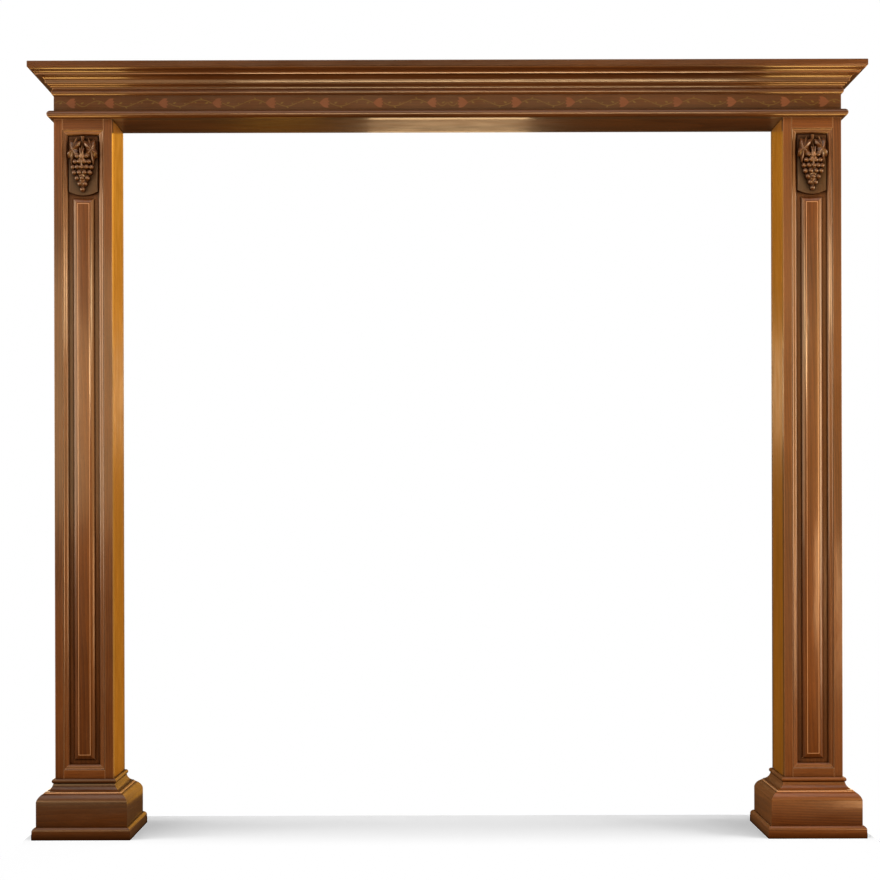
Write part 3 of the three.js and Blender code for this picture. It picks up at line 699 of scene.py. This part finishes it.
class PORTAL_OT_carvings(bpy.types.Operator):
    """Carves the bunch of grapes under vine leaves"""
    bl_idname = "portal.carvings"
    bl_label = "Grape carvings"

    def execute(self, context):
        radius = context.scene.portal_sizes.grape_radius
        for side, hand in SIDES:
            bm = bmesh.new()
            self.carve(bm, radius)
            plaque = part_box(f"{side}_post_capital_plaque")
            turn = Matrix(((1, 0, 0, hand * POST_X * MM), (0, 0, -1, plaque[0].y),
                           (0, 1, 0, plaque[0].z), (0, 0, 0, 1)))
            bmesh.ops.transform(bm, matrix=turn, verts=bm.verts[:])
            node = f"{side}_post_grape_carving"
            lay_grain(bm, UPRIGHT, node)
            hand_over(bm, node, ["carved_walnut"])
        return {"FINISHED"}

    def carve(self, bm, radius):
        """X runs across the post, Y up from the plaque's foot, Z out of its face"""
        rows = (1, 2, 3, 4, 5, 4, 3)
        foot = 20
        row_pitch = 17.8
        half_bunch = 41 * MM
        shallow = radius / 2
        deepest = 33 * MM - radius
        top = foot * MM + 6 * row_pitch * MM
        chance = random.Random(7)
        for row, count in enumerate(rows):
            swell = min(1, (row + 1) / 4)
            pitch = 16.4 * MM * (1 if row < 4 else 0.88)
            for place in range(count):
                x = (place - (count - 1) / 2) * pitch
                crown = math.sqrt(1 - (x / half_bunch) ** 2)
                z = shallow + (deepest - shallow) * swell * crown
                verts = bmesh.ops.create_uvsphere(
                    bm, u_segments=20, v_segments=12, radius=radius)["verts"]
                size = chance.uniform(0.94, 1)
                bmesh.ops.scale(bm, vec=(size, 1.12 * size, size), verts=verts)
                bmesh.ops.rotate(
                    bm, matrix=Matrix.Rotation(0.2 * (place + row), 3, "Z"), verts=verts)
                bmesh.ops.translate(
                    bm, vec=(x, (foot + row * row_pitch) * MM, z), verts=verts)
        self.heart(bm, foot * MM, top, half_bunch, deepest)
        leaf_middle = top + 20.5 * MM
        for hand in (-1, 1):
            verts = self.leaf(bm, 41 * MM, 22 * MM, 17 * MM, 120)
            bmesh.ops.rotate(bm, matrix=Matrix.Rotation(hand * 0.25, 3, "Y"), verts=verts)
            bmesh.ops.rotate(bm, matrix=Matrix.Rotation(hand * 0.16, 3, "Z"), verts=verts)
            bmesh.ops.translate(bm, vec=(hand * 26 * MM, leaf_middle, 8.5 * MM), verts=verts)
        verts = self.leaf(bm, 33 * MM, 9 * MM, 9 * MM, 80)
        bmesh.ops.translate(bm, vec=(0, top, deepest), verts=verts)
        stem_top = 194 * MM
        rise = stem_top - leaf_middle + 6 * MM
        verts = bmesh.ops.create_cone(
            bm, cap_ends=True, segments=24, radius1=6 * 1.3 * MM, radius2=6 * MM,
            depth=rise)["verts"]
        bmesh.ops.rotate(bm, matrix=Matrix.Rotation(-math.pi / 2, 3, "X"), verts=verts)
        bmesh.ops.translate(bm, vec=(0, stem_top - rise / 2, 6 * MM), verts=verts)
        for middle, away in (((0, 0, 0.3 * MM), (0, 0, -1)), ((48 * MM, 0, 0), (1, 0, 0)),
                             ((-48 * MM, 0, 0), (-1, 0, 0))):
            parts = bm.verts[:] + bm.edges[:] + bm.faces[:]
            cut = bmesh.ops.bisect_plane(
                bm, geom=parts, plane_co=middle, plane_no=away, clear_outer=True)["geom_cut"]
            rims = [part for part in cut if isinstance(part, bmesh.types.BMEdge)]
            bmesh.ops.holes_fill(bm, edges=rims, sides=0)

    def heart(self, bm, foot, top, half_wide, deep):
        """The wood between and behind the grapes"""
        verts = bmesh.ops.create_uvsphere(bm, u_segments=32, v_segments=16, radius=1)["verts"]
        half_tall = (top - foot) / 2
        for vert in verts:
            x, y, climb = vert.co
            narrow = 1 - 0.34 + 0.34 * climb
            vert.co = (x * narrow * half_wide * 0.86, foot + (climb + 1) * half_tall, y * deep)

    def leaf(self, bm, long, wide, rise, around):
        """A lobed leaf with a raised rib along each lobe, cut veins and a toothed edge"""
        verts = bmesh.ops.create_uvsphere(
            bm, u_segments=around, v_segments=28, radius=1)["verts"]
        lobes = 360 / 65
        for vert in verts:
            x, y, z = vert.co
            reach = math.hypot(x, y)
            angle = math.atan2(x, -y)
            lobe = math.cos(lobes * angle) * reach
            tooth = math.cos(5 * lobes * angle) * reach ** 3
            edge = 1 + 0.17 * lobe + 0.025 * tooth
            swell = 1 + 0.3 * lobe if z > 0 else 0.6
            height = z * rise * swell
            if z > 0:
                off = abs(math.remainder(angle, 2 * math.pi / lobes)) * reach
                rib = math.exp(-(off / 0.05) ** 2) * reach * (1 - 0.5 * reach)
                vein = math.cos(40 * (reach - 0.9 * off)) * min(1, off * 6) * reach
                height += 0.075 * rise * rib + 0.022 * rise * vein
            vert.co = (x * edge * wide, y * edge * long, height)
        return verts


class PORTAL_OT_frieze(bpy.types.Operator):
    """Inlays flowers on winding stems, flush with the front frieze board"""
    bl_idname = "portal.frieze"
    bl_label = "Inlaid frieze"

    def execute(self, context):
        sizes = context.scene.portal_sizes
        node = "head_front_frieze_board"
        low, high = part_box(node)
        rise = (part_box("front_astragal")[1].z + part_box("front_bed_mould")[0].z) / 2
        bm = bmesh.new()
        grow_board(bm, low, high, sizes.arris)
        flowers, borders = self.divide(sizes.flower_pitch, high.x - sizes.arris)
        for border in borders:
            parts = bm.verts[:] + bm.edges[:] + bm.faces[:]
            bmesh.ops.bisect_plane(
                bm, geom=parts, dist=0.01 * MM, plane_co=(border, 0, 0), plane_no=(1, 0, 0))
        cells = [face for face in bm.faces
                 if face.normal.y < -0.99 and face.calc_area() > 1e-3]
        lay_grain(bm, ACROSS, node)
        chance = random.Random(3)
        for cell in cells:
            ends = [vert.co.x for vert in cell.verts]
            for flower in flowers:
                if min(ends) < flower < max(ends):
                    self.inlay(bm, cell, flower, rise, min(ends), max(ends), chance)
                    break
        hand_over(
            bm, node, ["frieze_walnut", "inlaid_rose_wood", "inlaid_olive_wood"],
            smooth=False)
        return {"FINISHED"}

    def divide(self, pitch, end):
        """Places of the flowers, which keep closer in the middle and at the ends, and the
        borders between them"""
        half = [51 * MM]
        while half[-1] + 1.2 * pitch < end:
            half.append(half[-1] + pitch)
        half.append(end - 56 * MM)
        flowers = [-place for place in reversed(half)] + half
        borders = [(one + two) / 2 for one, two in zip(flowers, flowers[1:])]
        return flowers, borders

    def inlay(self, bm, cell, flower, rise, left, right, chance):
        """Cuts a flower with its stem and leaves out of one cell of the ground. The outlines
        are triangulated together, because a plain fill leaves gaps under the stems' arches"""
        face_y = cell.calc_center_median().y
        corners = list(cell.verts)
        hand = math.copysign(1, flower)
        inner = flower - left if hand > 0 else right - flower
        outer = right - flower if hand > 0 else flower - left
        shapes = [(1, self.bell(chance.uniform(1.08, 1.2)))]
        shapes += [(2, shape) for shape in self.tendrils(inner / MM - 1.5, outer / MM - 1.5)]
        places = [(vert.co.x / MM, vert.co.z / MM) for vert in corners]
        outlines, slots = [list(range(4))], [0]
        for slot, shape in shapes:
            outlines.append(list(range(len(places), len(places) + len(shape))))
            slots.append(slot)
            places += [(flower / MM + hand * x, rise / MM + z) for x, z in shape]
        for outline in outlines:
            ends = zip(outline, outline[1:] + outline[:1])
            if sum(places[one][0] * places[two][1] - places[two][0] * places[one][1]
                   for one, two in ends) < 0:
                outline.reverse()
        spots, _, faces, sources, _, owners = delaunay_2d_cdt(
            [Vector(place) for place in places], [], outlines, 0, 1e-4)
        verts = []
        for spot, source in zip(spots, sources):
            known = [corners[index] for index in source if index < 4]
            verts.append(
                known[0] if known else bm.verts.new((spot.x * MM, face_y, spot.y * MM)))
        bm.faces.remove(cell)
        woods = {}
        for face, owner in zip(faces, owners):
            wood = bm.faces.new([verts[index] for index in face])
            wood.material_index = slots[max(owner)]
            woods.setdefault(max(owner), []).append(wood)
        for owner, pieces in woods.items():
            tilt = chance.uniform(-0.5, 0.5) if owner else 0
            along = Vector((math.cos(tilt), 0, math.sin(tilt)))
            board = f"{flower:.3f} {owner}" if owner else "head_front_frieze_board"
            lay_grain(bm, along, board, pieces)

    def bell(self, size):
        """A flower seen from the side: spiky petals towards the middle, its point outward"""
        petals = [(-13, 14), (-9.5, 7.5), (-16, 5), (-10.5, 0)]
        side = [(-8, 14.5), (-2, 14), (3.5, 11), (8, 7), (11.5, 3.4)]
        upper = [(15, 0)] + side[::-1] + petals
        lower = [(x, -z) for x, z in reversed(upper[1:-1])]
        return [(size * x, size * z) for x, z in upper + lower]

    def tendrils(self, inner, outer):
        """Stems that wind from the flower to the cell's ends, with leaves beside them"""
        shapes = [self.ribbon([
            (17 + share * (outer - 17), 11 * math.sin(math.pi * share)
             * (1 if outer > 70 else 0.7)) for share in self.shares(14)], 1.1, 1.1)]
        shapes.append(self.ribbon([
            (-18 - share * (inner - 18), -11 * math.sin(math.pi * share))
            for share in self.shares(14)], 1.1, 1.1))
        for x, z, long, turn in ((34, 0, 11, -0.5), (-38, 0.5, 11, 2.7), (52, 15, 8, 0.6),
                                 (-56, -15, 8, -2.6), (70, 1.5, 7, -0.9), (-72, -1.5, 7, 2.2)):
            if -inner + 9 < x < outer - 9:
                shapes.append(self.leaf(x, z, long, turn))
        return shapes

    def shares(self, steps):
        return [step / steps for step in range(steps + 1)]

    def ribbon(self, line, start, end):
        """The outline of a stem along a line, with its half widths at the two ends"""
        left, right = [], []
        for place, (x, z) in enumerate(line):
            before, after = line[max(place - 1, 0)], line[min(place + 1, len(line) - 1)]
            run = math.hypot(after[0] - before[0], after[1] - before[1])
            half = start + (end - start) * place / (len(line) - 1)
            aside = ((before[1] - after[1]) / run * half, (after[0] - before[0]) / run * half)
            left.append((x + aside[0], z + aside[1]))
            right.append((x - aside[0], z - aside[1]))
        return left + right[::-1]

    def leaf(self, x, z, long, turn):
        """A pointed leaf about its middle"""
        outline = []
        for step in range(12):
            angle = 2 * math.pi * step / 12
            along = long / 2 * math.cos(angle)
            aside = long * 0.24 * math.sin(angle) * (1 - 0.35 * math.cos(angle))
            outline.append((x + along * math.cos(turn) - aside * math.sin(turn),
                            z + along * math.sin(turn) + aside * math.cos(turn)))
        return outline


# Studio

# Name, place, aim, width and height in metres, power in watts, spread in degrees and colour.
# The walls and cards stand for the room that the lacquer mirrors
LAMPS = (
    ("left_wall", (-3.9, -2.5, 2.05), (0.3, 0.1, 1.5), 4.9, 2.3, 124, 180, "#FFDDB0"),
    ("right_wall", (3.9, -2.5, 2.0), (-0.3, 0.1, 1.3), 4.9, 2.5, 96, 180, "#FFCC80"),
    ("right_slope_card", (3.9, -1.55, 1.35), (1.2, -0.1, 1.25), 0.5, 2.3, 34, 180, "#FFDDB4"),
    ("left_end_card", (-5.0, -0.7, 1.9), (-1.3, -0.1, 1.7), 1.6, 2.4, 62, 180, "#FFE2C2"),
    ("right_end_card", (5.0, -0.7, 1.9), (1.3, -0.1, 1.7), 1.6, 2.4, 62, 180, "#FFE2C2"),
    ("left_sheen_card", (-2.1, -4.4, 1.75), (-1.2, 0, 1.5), 1.5, 1.5, 18, 180, "#FFD596"),
    ("right_sheen_card", (2.1, -4.4, 1.75), (1.2, 0, 1.5), 1.5, 1.5, 4, 180, "#FFC060"),
    ("head_softbox", (0.2, -3.0, 2.2), (0, 0, 2.45), 2.4, 0.45, 54, 180, "#FFD6A0"),
    ("right_low_lamp", (2.6, -3.0, 0.55), (0.4, 0, 0.15), 1.4, 0.7, 28, 180, "#FFC488"),
    ("left_cornice_lamp", (-1.3, -0.55, 2.0), (-1.3, -0.54, 2.9), 0.3, 0.6, 2.7, 90, "#FFC46C"),
    ("right_cornice_lamp", (1.3, -0.55, 2.0), (1.3, -0.54, 2.9), 0.3, 0.6, 3.1, 90, "#FFC46C"),
    ("left_reveal_strip", (-0.74, 2.0, 0.85), (-1.1, 0, 0.85), 0.34, 1.9, 1.9, 180, "#FFB13A"),
    ("right_reveal_strip", (0.74, 2.0, 0.85), (1.1, 0, 0.85), 0.34, 1.9, 0.15, 180, "#FFB13A"),
    ("left_high_strip", (-0.74, 2.0, 2.35), (-1.1, 0, 1.85), 0.34, 1.1, 0.09, 30, "#FFB13A"),
    ("right_high_strip", (0.74, 2.0, 2.35), (1.1, 0, 1.85), 0.34, 1.1, 0.03, 30, "#FFB13A"),
    ("back_softbox", (0.03, 3.0, 1.68), (0.03, 0, 1.68), 0.8, 0.5, 3.8, 180, "#FFD29A"),
    ("left_rear_card", (-3.4, 4.0, 1.7), (-0.9, 0.1, 1.3), 1.8, 2.4, 78, 180, "#FFDDB4"),
    ("right_rear_card", (3.4, 4.0, 1.7), (0.9, 0.1, 1.3), 1.8, 2.4, 78, 180, "#FFDDB4"),
    ("top_softbox", (0, -1.5, 4.6), (0, 0, 0), 5.0, 3.0, 62, 180, "#FFF3E2"),
)


class PORTAL_OT_stage(bpy.types.Operator):
    """Sets up the pale floor, the soft studio light and the camera"""
    bl_idname = "portal.stage"
    bl_label = "Stage"

    def execute(self, context):
        scene = context.scene
        scene.view_settings.view_transform = "Standard"
        self.lay_floor(scene)
        self.light_room(scene)
        self.hang_lamps(scene)
        self.stand_camera(scene)
        return {"FINISHED"}

    def hang_lamps(self, scene):
        """Hangs the lamps; the rear cards light only the pieces that are seen from behind"""
        behind = bpy.data.collections.new("pieces_seen_from_behind")
        for piece in scene.objects:
            if piece.name.startswith("finished") and any(
                    word in piece.name for word in ("back", "plinth", "end_board", "outer_board")):
                behind.objects.link(piece)
        for name, place, aim, wide, tall, power, spread, colour in LAMPS:
            lamp = bpy.data.lights.new(name, "AREA")
            lamp.shape = "RECTANGLE"
            lamp.size = wide
            lamp.size_y = tall
            lamp.energy = power
            lamp.color = linear(colour)
            lamp.spread = math.radians(spread)
            stand = bpy.data.objects.new(name, lamp)
            stand.location = place
            toward = Vector(aim) - Vector(place)
            stand.rotation_euler = toward.to_track_quat("-Z", "Y").to_euler()
            stand.visible_camera = False
            if "rear" in name:
                stand.light_linking.receiver_collection = behind
            scene.collection.objects.link(stand)
        overhead = bpy.data.lights.new("overhead_lamp", "SUN")
        overhead.energy = 0.25
        overhead.angle = math.radians(5)
        overhead.color = linear("#FFF3E2")
        scene.collection.objects.link(bpy.data.objects.new("overhead_lamp", overhead))

    def stand_camera(self, scene):
        """Stands the camera level at chest height; a long lens, shifted up, frames the head"""
        lens = bpy.data.cameras.new("photo_camera")
        lens.lens = 74.1
        lens.sensor_width = 36
        lens.shift_x = 0.0049
        lens.shift_y = 0.0864
        camera = bpy.data.objects.new("photo_camera", lens)
        camera.location = (-0.042, -6.09, 1.056)
        camera.rotation_euler = (math.pi / 2, 0.0025, 0)
        scene.collection.objects.link(camera)
        scene.camera = camera

    def lay_floor(self, scene):
        """A pale, smooth painted studio floor"""
        paint = bpy.data.materials.new("pale_floor_paint")
        paint.use_nodes = True
        shader = paint.node_tree.nodes["Principled BSDF"]
        shader.inputs["Base Color"].default_value = (*linear("#F4F3F1"), 1)
        shader.inputs["Roughness"].default_value = 0.6
        bm = bmesh.new()
        verts = bmesh.ops.create_grid(bm, x_segments=4, y_segments=4, size=1)["verts"]
        bmesh.ops.scale(bm, vec=(1.39, 1.95, 1), verts=verts)
        bmesh.ops.translate(bm, vec=(0, -1.65, 0), verts=verts)
        mesh = bpy.data.meshes.new("studio_floor")
        bm.to_mesh(mesh)
        bm.free()
        mesh.materials.append(paint)
        floor = bpy.data.objects.new("studio_floor", mesh)
        floor.is_shadow_catcher = True
        floor.visible_glossy = False
        floor.visible_diffuse = False
        scene.collection.objects.link(floor)

    def light_room(self, scene):
        """A white backdrop in view, in a room whose walls give back a little warm light"""
        world = bpy.data.worlds.new("studio_room")
        world.use_nodes = True
        tree = world.node_tree
        tree.nodes.clear()
        room = add_node(tree, "ShaderNodeBackground", {}, {
            "Color": (*linear("#FFB974"), 1), "Strength": 0.1}).outputs[0]
        backdrop = add_node(tree, "ShaderNodeBackground", {}, {
            "Color": (*linear("#FFFFFF"), 1), "Strength": 1.0}).outputs[0]
        seen = add_node(tree, "ShaderNodeLightPath").outputs["Is Camera Ray"]
        both = add_node(tree, "ShaderNodeMixShader", {}, {0: seen, 1: room, 2: backdrop})
        add_node(tree, "ShaderNodeOutputWorld", {}, {"Surface": both.outputs[0]})
        scene.world = world


class PORTAL_PT_panel(bpy.types.Panel):
    """The portal's sizes, colours and pieces"""
    bl_idname = "PORTAL_PT_panel"
    bl_label = "Walnut portal"
    bl_space_type = "VIEW_3D"
    bl_region_type = "UI"
    bl_category = "Portal"

    def draw(self, context):
        column = self.layout.column()
        for group in (context.scene.portal_sizes, context.scene.portal_colours):
            for field in group.bl_rna.properties.keys():
                if field not in ("rna_type", "name"):
                    column.prop(group, field)
        for operator in OPERATORS:
            column.operator(operator.bl_idname)


OPERATORS = (
    PORTAL_OT_woods, PORTAL_OT_boards, PORTAL_OT_frame_mouldings, PORTAL_OT_panels,
    PORTAL_OT_plaques, PORTAL_OT_carvings, PORTAL_OT_plinths, PORTAL_OT_frieze,
    PORTAL_OT_head_mouldings, PORTAL_OT_cap, PORTAL_OT_stage,
)
CLASSES = (PortalSizes, PortalColours, *OPERATORS, PORTAL_PT_panel)


def register():
    for cls in CLASSES:
        bpy.utils.register_class(cls)
    bpy.types.Scene.portal_sizes = PointerProperty(type=PortalSizes)
    bpy.types.Scene.portal_colours = PointerProperty(type=PortalColours)


def unregister():
    del bpy.types.Scene.portal_colours
    del bpy.types.Scene.portal_sizes
    for cls in reversed(CLASSES):
        bpy.utils.unregister_class(cls)


def main():
    register()
    bpy.ops.portal.woods()
    bpy.ops.portal.boards()
    bpy.ops.portal.frame_mouldings()
    bpy.ops.portal.panels()
    bpy.ops.portal.plaques()
    bpy.ops.portal.carvings()
    bpy.ops.portal.plinths()
    bpy.ops.portal.frieze()
    bpy.ops.portal.head_mouldings()
    bpy.ops.portal.cap()
    bpy.ops.portal.stage()


if __name__ == "__main__":
    main()
